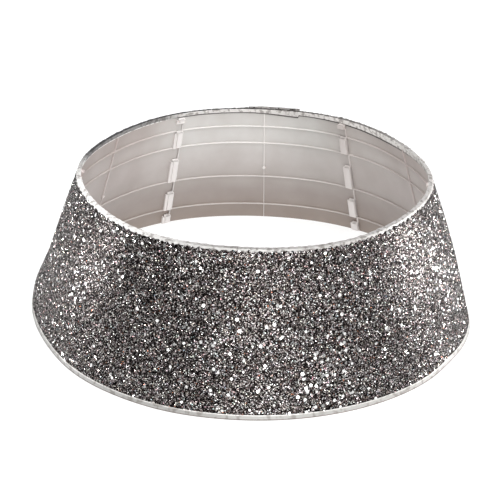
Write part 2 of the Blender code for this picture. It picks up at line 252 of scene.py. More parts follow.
    def under_rim(self, azimuth: np.ndarray, deep: np.ndarray, height: np.ndarray) -> np.ndarray:
        """Points a depth inwards from the panels' inner face."""
        return self.place(azimuth, self.panel_face(height) - deep + self.lobe(azimuth), height)


SHAPE = CollarShape()


def add_node(tree: bpy.types.NodeTree, kind: str, inputs: Mapping[str | int, object] | None = None,
             stops: Sequence[tuple[float, str]] = (), **settings: object) -> bpy.types.Node:
    """Add one node to a material.

    Args:
        tree: The material's node tree.
        kind: Blender's name of the node.
        inputs: Each input's value, or the output that it is linked to.
        stops: For a colour ramp, its places and sRGB hex colours.
        settings: The node's own settings.

    Returns:
        The new node.
    """
    node = tree.nodes.new(kind)
    for name, value in settings.items():
        setattr(node, name, value)
    for name, value in (inputs or {}).items():
        if isinstance(value, bpy.types.NodeSocket):
            tree.links.new(value, node.inputs[name])
        else:
            node.inputs[name].default_value = value
    for index, (place, colour) in enumerate(stops):
        elements = node.color_ramp.elements
        element = elements[index] if index < len(elements) else elements.new(place)
        element.position = place
        element.color = linear(colour)
    return node


@dataclass(frozen=True)
class Finish:
    """What all finishes share: one Principled material, made once and then reused."""

    title: str
    roughness: float = 0.5
    metallic: float = 0.0

    def material(self) -> bpy.types.Material:
        """The finish's material."""
        found = bpy.data.materials.get(self.title)
        if found:
            return found
        made = bpy.data.materials.new(self.title)
        made.use_nodes = True
        shader = made.node_tree.nodes["Principled BSDF"]
        shader.inputs["Roughness"].default_value = self.roughness
        shader.inputs["Metallic"].default_value = self.metallic
        self.paint(made.node_tree, shader)
        return made

    def paint(self, tree: bpy.types.NodeTree, shader: bpy.types.Node) -> None:
        """Wire the finish's colour, roughness and bump to its shader."""
        raise NotImplementedError


@dataclass(frozen=True)
class MouldedPolypropylene(Finish):
    """Milky natural polypropylene, injection moulded.

    It gives the eye a satin, slightly cloudy pinkish grey, with painted shade that turns it darker and
    warmer towards the floor and lighter or darker round the ring. Ribs and clips are thicker, so they look
    milkier, and they are painted lighter still, as painted light on their faces.
    """

    title: str = "moulded_polypropylene"
    roughness: float = 0.42
    cloud: float = 45 * MM
    drag: float = 1.2 * MM
    milky_and_lit_white: str = "#f0ecea"
    milky_and_lit_share: float = 0.95
    # Painted shade by height, as shares of the full height: darker and warmer towards the floor
    painted_shade_by_height: tuple[tuple[float, str], ...] = (
        (0.06, "#978b83"), (0.26, "#a19893"), (0.545, "#c5c0bd"), (0.77, "#d5d3d0"), (0.905, "#d4d2cf"))
    # Painted light and shade round the ring, from the left clockwise from below: left, front, right, back right,
    # back left
    painted_shade_round: tuple[tuple[float, str], ...] = (
        (0.0, "#d3c8c6"), (0.25, "#e2dcda"), (0.50, "#efe6e4"), (0.575, "#dad0ce"), (0.66, "#dbd6d4"),
        (0.69, "#e5e5e4"), (0.74, "#ffffff"), (0.825, "#ffffff"), (0.87, "#dbd1cf"), (1.0, "#d3c8c6"))

    def paint(self, tree: bpy.types.NodeTree, shader: bpy.types.Node) -> None:
        """Painted shade by height and round the ring from panel to panel, painted light on ribs and clips over
        their milkier plastic, clouds in the melt, and fine drag lines from the mould.
        """
        place = add_node(tree, "ShaderNodeTexCoord").outputs["Object"]
        height = add_node(tree, "ShaderNodeSeparateXYZ", {"Vector": place}).outputs["Z"]
        share = add_node(tree, "ShaderNodeMath", {0: height, 1: SHAPE.height}, operation="DIVIDE").outputs[0]
        # Painted shade: darker and warmer towards the floor
        tone = add_node(tree, "ShaderNodeValToRGB", {"Fac": share}, self.painted_shade_by_height).outputs["Color"]
        cloud = add_node(tree, "ShaderNodeTexNoise", {"Vector": place, "Scale": 1 / self.cloud, "Detail": 3.0})
        grey = add_node(tree, "ShaderNodeValToRGB", {"Fac": cloud.outputs["Fac"]},
                        ((0.3, "#ded8d5"), (0.7, "#ffffff"))).outputs["Color"]
        clouded = add_node(tree, "ShaderNodeMix", {0: 0.4, 6: tone, 7: grey}, data_type="RGBA",
                           blend_type="MULTIPLY").outputs[2]
        # Ribs and clips turn lighter: partly the thicker plastic's own milkier colour, partly painted light on
        # their faces
        milky_and_lit_amount = add_node(tree, "ShaderNodeAttribute", attribute_name=MILKY_AND_LIT).outputs["Fac"]
        much = add_node(tree, "ShaderNodeMath", {0: milky_and_lit_amount, 1: self.milky_and_lit_share}, operation="MULTIPLY").outputs[0]
        milky_and_lit_white = add_node(tree, "ShaderNodeMix", {0: much, 6: clouded, 7: linear(self.milky_and_lit_white)}, data_type="RGBA")
        # Painted light and shade round the ring, lightest at the back left
        painted_shade_azimuth = add_node(tree, "ShaderNodeTexGradient", {"Vector": place}, gradient_type="RADIAL")
        side = add_node(tree, "ShaderNodeValToRGB", {"Fac": painted_shade_azimuth.outputs["Fac"]}, self.painted_shade_round)
        shaded = add_node(tree, "ShaderNodeMix", {0: share, 6: milky_and_lit_white.outputs[2], 7: side.outputs["Color"]},
                          data_type="RGBA", blend_type="MULTIPLY")
        tree.links.new(shaded.outputs[2], shader.inputs["Base Color"])
        stretch = add_node(tree, "ShaderNodeMapping", {"Vector": place, "Scale": (1.0, 1.0, 0.06)})
        lines = add_node(tree, "ShaderNodeTexNoise", {"Vector": stretch.outputs[0], "Scale": 1 / self.drag})
        bump = add_node(tree, "ShaderNodeBump", {"Height": lines.outputs["Fac"], "Strength": 0.12,
                                                 "Distance": 0.2 * MM})
        tree.links.new(bump.outputs[0], shader.inputs["Normal"])
        shader.inputs["Subsurface Weight"].default_value = 0.10
        shader.inputs["Subsurface Radius"].default_value = (1.0, 0.9, 0.85)
        shader.inputs["Subsurface Scale"].default_value = 2 * MM


@dataclass(frozen=True)
class GlueBed(Finish):
    """Knitted cloth coated with dark glue, bedded with fine glitter.

    It gives the eye small dark grey cells between the larger flakes, each at its own slight tilt.
    """

    title: str = "glitter_glue_bed"
    roughness: float = 0.40
    metallic: float = 1.0
    cell: float = 1.3 * MM

    def paint(self, tree: bpy.types.NodeTree, shader: bpy.types.Node) -> None:
        """Cells of fine glitter, each with its own tone and height."""
        place = add_node(tree, "ShaderNodeTexCoord").outputs["Object"]
        cells = add_node(tree, "ShaderNodeTexVoronoi", {"Vector": place, "Scale": 1 / self.cell})
        split = add_node(tree, "ShaderNodeSeparateColor", {"Color": cells.outputs["Color"]})
        tone = add_node(tree, "ShaderNodeValToRGB", {"Fac": split.outputs[0]},
                        ((0.0, "#050404"), (0.48, "#171313"), (0.72, "#4a4342"), (0.87, "#a29896"),
                         (1.0, "#f6f2f0")))
        tree.links.new(tone.outputs["Color"], shader.inputs["Base Color"])
        bump = add_node(tree, "ShaderNodeBump", {"Height": split.outputs[1], "Strength": 0.8,
                                                 "Distance": 0.5 * MM})
        tree.links.new(bump.outputs[0], shader.inputs["Normal"])


@dataclass(frozen=True)
class GlitterFilm(Finish):
    """Aluminised polyester film, cut into hexagons and lacquered in gunmetal, silver and a few hues.

    It gives the eye flat bright or dark facets. Each flake's colour is an attribute of its own mesh.
    """

    title: str = "glitter_film"
    roughness: float = 0.22
    metallic: float = 1.0

    def paint(self, tree: bpy.types.NodeTree, shader: bpy.types.Node) -> None:
        """The flakes' own colours."""
        tint = add_node(tree, "ShaderNodeAttribute", attribute_name=FLAKE_COLOUR)
        tree.links.new(tint.outputs["Color"], shader.inputs["Base Color"])


@dataclass(frozen=True)
class SilverTape(Finish):
    """Metallised woven binding tape, folded over an edge and sewn on.

    It gives the eye a crinkled silver band with a painted dark line along its fold, standing in for shade and
    dark reflection, and a painted line along one edge, a highlight in some places and a shadow in others.
    Painted light and shade change its colour round the collar: grey at the back left, bright at the back
    right and at the front left. Its crinkles are painted darker in their hollows: painted shade.
    """

    title: str = "silver_rim_tape"
    roughness: float = 0.45
    metallic: float = 0.25
    thread: float = 1.6 * MM
    crinkle: float = 6 * MM
    # Colour that the crinkle hollows are darkened to: painted shade
    painted_crease_shade: str = "#bfbcba"
    depth: float = 0.30
    fold_shade_dash_length: float = 5 * MM
    fold_shade_breaks: str = "#b4b4b4"
    fold_matt: float = 0.95
    # Painted light and shade round the collar, from the left clockwise from below: left, front, right, back, left
    painted_shade_round: tuple[tuple[float, str], ...] = (
        (0.0, "#dedcda"), (0.03, "#e6e4e2"), (0.15, "#dcdad8"), (0.22, "#bfbdbb"), (0.34, "#b6b3b1"),
        (0.46, "#bcbab7"), (0.54, "#cfcdca"), (0.583, "#e4e2df"), (0.667, "#dedbd8"), (0.708, "#cfccc9"),
        (0.758, "#e4e1de"), (0.825, "#d6d4d1"), (0.85, "#908e8d"), (0.972, "#808081"), (0.982, "#ececea"),
        (1.0, "#dedcda"))
    # Painted shade and dark reflection along the fold, round the collar
    painted_fold_shade: tuple[tuple[float, str], ...] = (
        (0.0, "#b4b2b0"), (0.03, "#dcdad8"), (0.15, "#cccac8"), (0.22, "#8c8a88"), (0.46, "#a6a3a1"),
        (0.55, "#a6a3a1"), (0.60, "#6d6a68"), (0.70, "#4a4644"), (0.83, "#3b393a"), (0.96, "#2b2b2d"),
        (1.0, "#b4b2b0"))
    # Painted highlight and shadow along the tape's inner edge, round the collar: white where the edge catches
    # light, dark where a shadow falls under it
    edges: tuple[tuple[float, str], ...] = (
        (0.0, "#ffffff"), (0.50, "#e4e1de"), (0.56, "#a39f9d"), (0.60, "#4a4645"), (0.68, "#2c2928"),
        (0.72, "#5b5654"), (0.76, "#2f2c2b"), (0.825, "#3a3635"), (0.85, "#f4f3f1"), (1.0, "#ffffff"))
    # Where the painted lines lie across the tape, from its inner edge to its outer one: white is the fold's line
    fold_line: tuple[tuple[float, str], ...] = (
        (0.46, "#000000"), (0.49, "#ffffff"), (0.79, "#ffffff"), (0.82, "#000000"))
    edge_line: tuple[tuple[float, str], ...] = ((0.08, "#ffffff"), (0.12, "#000000"))

    def paint(self, tree: bpy.types.NodeTree, shader: bpy.types.Node) -> None:
        """Painted light and shade round the collar, painted lines along the fold and the edge,
        painted shade in the crinkle hollows, and a woven grain.
        """
        place = add_node(tree, "ShaderNodeTexCoord").outputs["Object"]
        lay = add_node(tree, "ShaderNodeUVMap", uv_map=LAY_MAP).outputs["UV"]
        split = add_node(tree, "ShaderNodeSeparateXYZ", {"Vector": lay})
        painted_shade_azimuth = add_node(tree, "ShaderNodeTexGradient", {"Vector": place}, gradient_type="RADIAL").outputs["Fac"]
        # Painted light, shade and dark reflection round the collar, for the tape, its fold line and its edge line
        tone, fold_tone, edge_tone = (
            add_node(tree, "ShaderNodeValToRGB", {"Fac": painted_shade_azimuth}, stops).outputs["Color"]
            for stops in (self.painted_shade_round, self.painted_fold_shade, self.edges))
        at_fold, at_edge = (
            add_node(tree, "ShaderNodeValToRGB", {"Fac": split.outputs["Y"]}, stops).outputs["Color"]
            for stops in (self.fold_line, self.edge_line))
        along = add_node(tree, "ShaderNodeCombineXYZ", {"X": split.outputs["X"]}).outputs[0]
        # The painted fold line is broken into dashes
        fold_shade_breaks = add_node(tree, "ShaderNodeTexNoise", {"Vector": along, "Scale": 1 / self.fold_shade_dash_length}).outputs["Fac"]
        dash = add_node(tree, "ShaderNodeValToRGB", {"Fac": fold_shade_breaks}, ((0.30, self.fold_shade_breaks), (0.42, "#ffffff")))
        fold = add_node(tree, "ShaderNodeMath", {0: at_fold, 1: dash.outputs["Color"]},
                        operation="MULTIPLY").outputs[0]
        # Along the painted dark fold line the tape is made matt and not metallic, so the line stays dark
        for socket, film, fold_matt in (("Roughness", self.roughness, self.fold_matt), ("Metallic", self.metallic, 0.0)):
            share = add_node(tree, "ShaderNodeMath", {0: fold, 1: fold_matt - film, 2: film},
                             operation="MULTIPLY_ADD")
            tree.links.new(share.outputs[0], shader.inputs[socket])
        folded = add_node(tree, "ShaderNodeMix", {0: fold, 6: tone, 7: fold_tone}, data_type="RGBA").outputs[2]
        # Painted highlight and shadow along the edge
        edged = add_node(tree, "ShaderNodeMix", {0: at_edge, 6: folded, 7: edge_tone}, data_type="RGBA").outputs[2]
        crinkle = add_node(tree, "ShaderNodeTexNoise", {"Vector": place, "Scale": 1 / self.crinkle,
                                                        "Detail": 1.5}).outputs["Fac"]
        # Painted shade in the crinkle hollows
        painted_crease_shade = add_node(tree, "ShaderNodeValToRGB", {"Fac": crinkle}, ((0.36, self.painted_crease_shade), (0.50, "#ffffff")))
        mixed = add_node(tree, "ShaderNodeMix", {0: 1.0, 6: edged, 7: painted_crease_shade.outputs["Color"]},
                         data_type="RGBA", blend_type="MULTIPLY").outputs[2]
        tree.links.new(mixed, shader.inputs["Base Color"])
        weave = add_node(tree, "ShaderNodeTexVoronoi", {"Vector": place, "Scale": 1 / self.thread})
        both = add_node(tree, "ShaderNodeMath", {0: weave.outputs["Distance"], 1: crinkle}, operation="ADD")
        bump = add_node(tree, "ShaderNodeBump", {"Height": both.outputs[0], "Strength": self.depth,
                                                 "Distance": 0.6 * MM})
        tree.links.new(bump.outputs[0], shader.inputs["Normal"])


# The hem tape: painted light round the collar, a painted shadow along its lower fold, and a painted highlight along
# its top edge
HEM_TAPE = SilverTape(
    title="silver_hem_tape", roughness=0.42, metallic=0.25, crinkle=9 * MM, painted_crease_shade="#d2cfcc", depth=0.12,
    fold_shade_dash_length=20 * MM,
    painted_shade_round=((0.0, "#969593"), (0.12, "#9f9e9c"), (0.22, "#a8a6a3"), (0.30, "#b3b1ae"), (0.46, "#aeaca9"),
           (0.75, "#a8a6a4"), (1.0, "#969593")),
    painted_fold_shade=((0.0, "#5f5a57"), (0.12, "#6f6763"), (0.30, "#8a7f79"), (1.0, "#5f5a57")),
    edges=((0.0, "#d2d0cd"), (1.0, "#d2d0cd")),
    fold_line=((0.42, "#000000"), (0.47, "#ffffff"), (0.60, "#ffffff"), (0.66, "#000000")),
    edge_line=((0.88, "#000000"), (0.94, "#ffffff")))

# The flap's rim tape: a painted dark line along its fold for shade and dark reflection, and painted shade in its
# crinkle hollows
LAP_TAPE = SilverTape(
    title="silver_lap_tape", crinkle=4 * MM, painted_crease_shade="#7d7a78", fold_shade_breaks="#707070",
    painted_shade_round=((0.0, "#c2bebb"), (1.0, "#c2bebb")), painted_fold_shade=((0.0, "#4a4645"), (1.0, "#4a4645")),
    edges=((0.0, "#c2bebb"), (1.0, "#c2bebb")),
    fold_line=((0.36, "#000000"), (0.40, "#ffffff"), (0.62, "#ffffff"), (0.70, "#000000")))


@dataclass(frozen=True)
class FineWeave(Finish):
    """A matt synthetic weave: white nylon by default, for the hook and the loop tapes.

    It gives the eye a matt off-white ground with a fine woven grain.
    """

    title: str = "woven_nylon_fastener"
    roughness: float = 0.85
    thread: float = 0.7 * MM
    dark: str = "#cfccc6"
    light: str = "#efede8"

    def paint(self, tree: bpy.types.NodeTree, shader: bpy.types.Node) -> None:
        """A woven grain in colour and bump."""
        place = add_node(tree, "ShaderNodeTexCoord").outputs["Object"]
        weave = add_node(tree, "ShaderNodeTexVoronoi", {"Vector": place, "Scale": 1 / self.thread})
        tone = add_node(tree, "ShaderNodeValToRGB", {"Fac": weave.outputs["Distance"]},
                        ((0.1, self.light), (0.8, self.dark)))
        tree.links.new(tone.outputs["Color"], shader.inputs["Base Color"])
        bump = add_node(tree, "ShaderNodeBump", {"Height": weave.outputs["Distance"], "Strength": 0.6,
                                                 "Distance": 0.3 * MM})
        tree.links.new(bump.outputs[0], shader.inputs["Normal"])


# Knitted polyester, the cloth's uncoated back. It gives the eye a dull dark grey with small stitches
CLOTH_BACK = FineWeave(title="knitted_polyester_back", thread=1.1 * MM, dark="#2b2827", light="#54504e")


@dataclass(frozen=True)
class OpalTable(Finish):
    """Opal acrylic over a light table. It gives the eye an even white ground with hardly a shadow."""

    title: str = "opal_acrylic_light_table"
    roughness: float = 0.9
    colour: str = "#959595"
    glow: float = 0.74

    def paint(self, tree: bpy.types.NodeTree, shader: bpy.types.Node) -> None:
        """One even white, lit from below."""
        shader.inputs["Base Color"].default_value = linear(self.colour)
        shader.inputs["Emission Color"].default_value = (1, 1, 1, 1)
        shader.inputs["Emission Strength"].default_value = self.glow


def make_object(name: str, mesh: bmesh.types.BMesh, finish: Finish, smooth: bool = True) -> bpy.types.Object:
    """Turn a finished bmesh into an object in the scene.

    Args:
        name: The piece's name.
        mesh: The bmesh, which is freed.
        finish: What it is made of.
        smooth: Whether it is shaded smooth across its gentle edges.

    Returns:
        The new object, at the origin.
    """
    data = bpy.data.meshes.new(name)
    mesh.to_mesh(data)
    mesh.free()
    if smooth:
        data.shade_smooth()
        data.set_sharp_from_angle(angle=SHARP_ANGLE)
    data.materials.append(finish.material())
    made = bpy.data.objects.new(name, data)
    bpy.context.scene.collection.objects.link(made)
    return made


def corners(data: bpy.types.Mesh) -> np.ndarray:
    """A mesh's vertices as rows of x, y, z."""
    flat = np.empty(len(data.vertices) * 3, np.float32)
    data.vertices.foreach_get("co", flat)
    return flat.reshape(-1, 3).astype(float)


def set_corners(data: bpy.types.Mesh, points: np.ndarray) -> None:
    """Move a mesh's vertices."""
    data.vertices.foreach_set("co", points.astype(np.float32).ravel())
    data.update()


def set_map(data: bpy.types.Mesh, name: str, places: np.ndarray) -> None:
    """Give a mesh a UV map from one place for each of its vertices."""
    loops = np.empty(len(data.loops), np.int32)
    data.loops.foreach_get("vertex_index", loops)
    data.uv_layers.new(name=name).data.foreach_set("uv", places[loops].astype(np.float32).ravel())


def wrapped_strip(name: str, around: tuple[float, float], counts: tuple[int, int], finish: Finish,
                  lie: Callable[[np.ndarray, np.ndarray], np.ndarray]) -> bpy.types.Object:
    """Lay a flat strip of cloth or tape round the collar.

    Args:
        name: The piece's name.
        around: The azimuths of its two ends.
        counts: How many faces it has along and across.
        finish: What it is made of.
        lie: Gives the points of the strip for azimuths and for shares across, 0 to 1.

    Returns:
        The strip as one open surface.
    """
    mesh = bmesh.new()
    bmesh.ops.create_grid(mesh, x_segments=counts[0], y_segments=counts[1], size=0.5)
    # Laid clockwise, the grid would face inwards
    bmesh.ops.reverse_faces(mesh, faces=mesh.faces)
    made = make_object(name, mesh, finish)
    flat = corners(made.data)
    azimuth = around[0] + (flat[:, 0] + 0.5) * (around[1] - around[0])
    share = flat[:, 1] + 0.5
    set_corners(made.data, lie(azimuth, share))
    set_map(made.data, LAY_MAP, np.stack([azimuth * SHAPE.top_radius, share], axis=-1))
    return made


def copies(mesh: bmesh.types.BMesh, count: int) -> None:
    """Fill a bmesh that holds one shape with that many copies of it, each one's number on its vertices."""
    number = mesh.verts.layers.int.new(COPY)
    have = 1
    while have < count:
        more = min(have, count - have)
        picked = [face for face in mesh.faces if face.verts[0][number] < more]
        for item in bmesh.ops.duplicate(mesh, geom=picked)["geom"]:
            if isinstance(item, bmesh.types.BMVert):
                item[number] += have
        have += more


def spread_copies(data: bpy.types.Mesh, middles: np.ndarray, axes: np.ndarray,
                  sizes: np.ndarray) -> tuple[np.ndarray, np.ndarray]:
    """Put each copy of a shape in its own place.

    Args:
        data: A mesh of numbered copies, whose numbers are used up.
        middles: Where each copy's own origin goes.
        axes: Each copy's three directions, as rows.
        sizes: What each copy is scaled by.

    Returns:
        Each vertex's copy, and where it lies on the shape itself.
    """
    number = np.empty(len(data.vertices), np.int32)
    data.attributes[COPY].data.foreach_get("value", number)
    data.attributes.remove(data.attributes[COPY])
    local = corners(data)
    spread = np.einsum("vj,vjk->vk", local * sizes[number, None], axes[number])
    set_corners(data, middles[number] + spread)
    return number, local


def thicken(piece: bpy.types.Object, thickness: float, back: Finish | None = None) -> None:
    """Give an open surface its thickness, half to each side, and its inner face the back's finish if it has one."""
    solid = piece.modifiers.new("thickness", "SOLIDIFY")
    solid.thickness = thickness
    solid.offset = 0.0
    solid.use_even_offset = False
    if back:
        piece.data.materials.append(back.material())
        solid.material_offset = 1


def along_path(path: Sequence[tuple[float, float]], share: np.ndarray) -> tuple[np.ndarray, np.ndarray]:
    """Follow a path of (across, height) points by shares of its length.

    Returns:
        The across values and the heights.
    """
    points = np.array(path)
    lengths = np.concatenate([[0], np.cumsum(np.hypot(*np.diff(points, axis=0).T))])
    at = share * lengths[-1]
    return np.interp(at, lengths, points[:, 0]), np.interp(at, lengths, points[:, 1])


@dataclass(frozen=True)
class Crinkle:
    """A smooth random surface, the same each run: waves of many lengths and directions."""

    seed: int
    shortest: float
    longest: float
    slants: tuple[float, float] = (0.0, math.pi)
    count: int = 28

    def __call__(self, along: np.ndarray, across: np.ndarray) -> np.ndarray:
        """Heights between about -1 and 1 at places given in metres along and across."""
        draw = np.random.default_rng(self.seed)
        lengths = np.exp(draw.uniform(math.log(self.shortest), math.log(self.longest), self.count))
        turns = draw.uniform(*self.slants, self.count)
        phases = draw.uniform(0, math.tau, self.count)
        total = np.zeros_like(along)
        for length, turn, phase in zip(lengths, turns, phases):
            way = along * math.cos(turn) + across * math.sin(turn)
            total += length / self.longest * np.sin(math.tau * way / length + phase)
        return total / math.sqrt(self.count) * 1.8


@dataclass
class WallPanels:
    """The six moulded wall panels, with ribs, flanges, hooks and sockets."""

    rib_shares: tuple[float, ...] = (0.1268, 0.3905, 0.6995, 0.8474)
    rib: float = 0.0018
    rib_depth: float = 0.0028
    rib_round: float = 0.0005
    rib_root: float = 0.0008
    # How much lighter the ribs are painted: partly their milkier plastic, partly painted light
    rib_milky_and_lit: float = 0.45
    centre_rib: float = 0.0016
    centre_rib_depth: float = 0.0020
    thin_rib: float = 0.0010
    thin_rib_depth: float = 0.0012
    nub_share: float = 0.473
    nub_radius: float = 0.0025
    nub_depth: float = 0.0035
    seam_gap: float = 0.0008
    bite: float = 0.0008
    foot_clearance: float = 0.0010
    socket_width: float = 0.0110
    socket_depth: float = 0.0050
    socket_set_back: float = 0.0010
    pocket_width: float = 0.0050
    pocket_depth: float = 0.0026
    pocket_floor: float = 0.0015
    pocket_reach: float = 0.0080
    clearance: float = 0.0004
    flange: float = 0.0014
    flange_set_back: float = 0.0005
    flange_depth: float = 0.0025
    plate: float = 0.0016
    plate_reach: float = 0.0070
    shoulder: float = 0.0036
    top_clip: float = 0.0110
    clip_shares: tuple[float, ...] = (0.655, 0.644, 0.674, 1.026)
    edge_round: float = 0.0003
    top_slope: float = 0.35
    # How much lighter the clips and the centre rib are painted: partly their milkier plastic, partly painted light
    block_milky_and_lit: float = 0.85
    step: float = math.radians(1.0)
    finish: MouldedPolypropylene = field(default_factory=MouldedPolypropylene)

    @property
    def half(self) -> float:
        """Half a panel's angle."""
        return math.pi / SHAPE.panel_count

    @property
    def feature_top(self) -> float:
        """Where the ribs and clips end, just under the tape's inner leg."""
        return SHAPE.height - SHAPE.rim_leg - 0.5 * MM

    @property
    def cloth_top(self) -> float:
        """The height of the panel's top edge."""
        return SHAPE.height - SHAPE.tape_over

    def rib_heights(self) -> list[float]:
        """Heights of the ribs' middles."""
        return [SHAPE.height * share for share in self.rib_shares]

    def on_wall(self, azimuth: float, across: float, deep: float, height: float) -> Vector:
        """A point on the inner wall: across clockwise, deep inwards from the wall's face."""
        radius = SHAPE.panel_face(height) - SHAPE.flattening * math.cos(SHAPE.panel_count * azimuth) - deep
        place = Vector((radius * math.sin(azimuth), radius * math.cos(azimuth), height))
        return place + across * Vector((math.cos(azimuth), -math.sin(azimuth), 0))

    def section(self) -> list[tuple[float, float]]:
        """The wall's section as (deep, height) points, with its ribs' rounded edges."""
        points = [(-SHAPE.wall, 0.0), (0.0, 0.0)]
        half = self.rib / 2
        for height in self.rib_heights():
            low, high, deep, soft = height - half, height + half, self.rib_depth, self.rib_round
            points += [(0.0, low - soft / 2), (deep - soft, low), (deep, low + soft), (deep, high - soft),
                       (deep - soft, high), (0.0, high + self.rib_root)]
        return [*points, (0.0, self.cloth_top), (-SHAPE.wall, self.cloth_top)]

    def add_wall(self, mesh: bmesh.types.BMesh) -> None:
        """Spin the section round from one end of the panel to the other. Its ribs end at the sockets."""
        ends = self.half - self.seam_gap / 2 / SHAPE.panel_face(SHAPE.height / 2)
        rib_start = (self.seam_gap / 2 + self.flange / 2) / SHAPE.panel_face(0) - self.half
        rib_end = self.half - (self.socket_set_back + self.socket_width - self.bite) / SHAPE.panel_face(0)
        fine = 0.1 * self.step
        between = np.linspace(rib_start + fine, rib_end - fine, round((rib_end - rib_start) / self.step))
        azimuths = [-ends, rib_start, *between, rib_end, ends]
        ribbed = [False, False, *(True for _ in between), False, False]
        section = self.section()
        milky_and_lit_amount = mesh.verts.layers.float[MILKY_AND_LIT]
        face = None
        for azimuth, has_ribs in zip(azimuths, ribbed):
            if face is None:
                ring = [mesh.verts.new(self.on_wall(azimuth, 0, deep, height)) for deep, height in section]
                face = mesh.faces.new(ring)
            else:
                turned = bmesh.ops.extrude_face_region(mesh, geom=[face])
                bmesh.ops.delete(mesh, geom=[face], context="FACES_ONLY")
                face = next(item for item in turned["geom"] if isinstance(item, bmesh.types.BMFace))
            for corner, (deep, height) in zip(face.verts, section):
                corner.co = self.on_wall(azimuth, 0, deep if has_ribs or deep < 0 else 0.0, height)
                corner[milky_and_lit_amount] = self.rib_milky_and_lit if has_ribs and deep > 0 else 0.0

    def add_block(self, mesh: bmesh.types.BMesh, azimuth: float, across: tuple[float, float],
                  deep: tuple[float, float], high: tuple[float, float], pocket: bool = False) -> None:
        """A moulded block on the inner wall that leans as the wall does.

        Args:
            mesh: The panel's bmesh.
            azimuth: Where the block stands.
            across: From and to, clockwise.
            deep: From and to, inwards.
            high: From and to, upwards.
            pocket: Whether its top has the pocket that a hook's tongue drops into.
        """
        milky_and_lit_amount = mesh.verts.layers.float[MILKY_AND_LIT]
        cube = bmesh.ops.create_cube(mesh, size=1.0)["verts"]
        faces = {face for corner in cube for face in corner.link_faces}
        top = max(faces, key=lambda face: face.calc_center_median().z)
        if pocket:
            side = (across[1] - across[0] - self.pocket_width) / 2 / (across[1] - across[0])
            grown = bmesh.ops.inset_individual(mesh, faces=[top], thickness=side, use_even_offset=True)
            faces.update(grown["faces"])
            drop = min(self.pocket_reach, high[1] - high[0] - self.pocket_floor) / (high[1] - high[0])
            sunk = bmesh.ops.extrude_face_region(mesh, geom=[top])["geom"]
            bmesh.ops.delete(mesh, geom=[top], context="FACES_ONLY")
            moved = [item for item in sunk if isinstance(item, bmesh.types.BMVert)]
            bmesh.ops.translate(mesh, verts=moved, vec=(0, 0, -drop))
            cube = list({corner for face in faces if face.is_valid for corner in face.verts} | set(moved))
        for corner in cube:
            share = corner.co + Vector((0.5, 0.5, 0.5))
            depth = deep[0] + share.y * (deep[1] - deep[0])
            drop = 0.0 if pocket or share.z < 0.5 else self.top_slope * max(depth, 0.0)
            corner.co = self.on_wall(azimuth, across[0] + share.x * (across[1] - across[0]), depth,
                                     high[0] + share.z * (high[1] - high[0]) - drop)
            corner[milky_and_lit_amount] = self.block_milky_and_lit
        edges = list({edge for corner in cube for edge in corner.link_edges})
        bmesh.ops.bevel(mesh, geom=edges, offset=self.edge_round, offset_type="OFFSET", segments=1,
                        profile=0.5, affect="EDGES", material=-1, clamp_overlap=True)

    def clip_heights(self) -> list[tuple[float, float]]:
        """Bottom and top of each clip: one on the foot, one on each rib but the highest, one under the rim."""
        ribs = self.rib_heights()
        bottoms = [self.foot_clearance, *ribs[:-1]]
        standing = [(low, low + (rib - low) * share) for low, rib, share in zip(bottoms, ribs, self.clip_shares)]
        return [*standing, (self.feature_top - self.top_clip, self.feature_top)]

    def add_clips(self, mesh: bmesh.types.BMesh) -> None:
        """Sockets at the clockwise end, and the flange and hooks that reach over the seam at the other."""
        near = self.seam_gap / 2 + self.flange_set_back
        far = near + self.flange
        back = self.socket_depth + self.clearance
        front = back + self.plate
        socket = (-self.socket_set_back - self.socket_width, -self.socket_set_back)
        middle = -self.socket_set_back - self.socket_width / 2
        tongue = (middle - self.pocket_width / 2 + self.clearance, middle + self.pocket_width / 2 - self.clearance)
        depth = (self.socket_depth - self.pocket_depth) / 2
        sunk = (-self.bite, self.flange_depth)
        self.add_block(mesh, -self.half, (near, far), sunk, (self.foot_clearance, self.feature_top))
        for low, high in self.clip_heights():
            mouth = high - self.shoulder - self.clearance
            reach = min(self.pocket_reach, mouth - low - self.pocket_floor)
            self.add_block(mesh, self.half, socket, (-self.bite, self.socket_depth), (low, mouth), pocket=True)
            self.add_block(mesh, -self.half, (near, far), (-self.bite, front), (low + self.rib, high))
            self.add_block(mesh, -self.half, (-self.plate_reach, near), (back, front), (low + self.rib, high))
            self.add_block(mesh, -self.half, (tongue[0], near), (depth, front), (high - self.shoulder, high))
            self.add_block(mesh, -self.half, tongue, (depth + self.clearance, depth + self.pocket_depth),
                           (mouth - reach + self.clearance, high - self.shoulder / 2))

    def add_centre(self, mesh: bmesh.types.BMesh) -> None:
        """The upright rib down the middle, thinner below its round nub."""
        nub = SHAPE.height * self.nub_share
        self.add_block(mesh, 0, (-self.centre_rib / 2, self.centre_rib / 2), (-self.bite, self.centre_rib_depth),
                       (nub, self.feature_top))
        self.add_block(mesh, 0, (-self.thin_rib / 2, self.thin_rib / 2), (-self.bite, self.thin_rib_depth),
                       (self.foot_clearance, nub))
        disc = bmesh.ops.create_cone(mesh, cap_ends=True, segments=20, radius1=self.nub_radius,
                                     radius2=self.nub_radius, depth=1.0)["verts"]
        for corner in disc:
            deep = self.nub_depth if corner.co.z > 0 else -self.bite
            corner.co = self.on_wall(0, corner.co.x, deep, nub + corner.co.y)
            corner[mesh.verts.layers.float[MILKY_AND_LIT]] = self.block_milky_and_lit

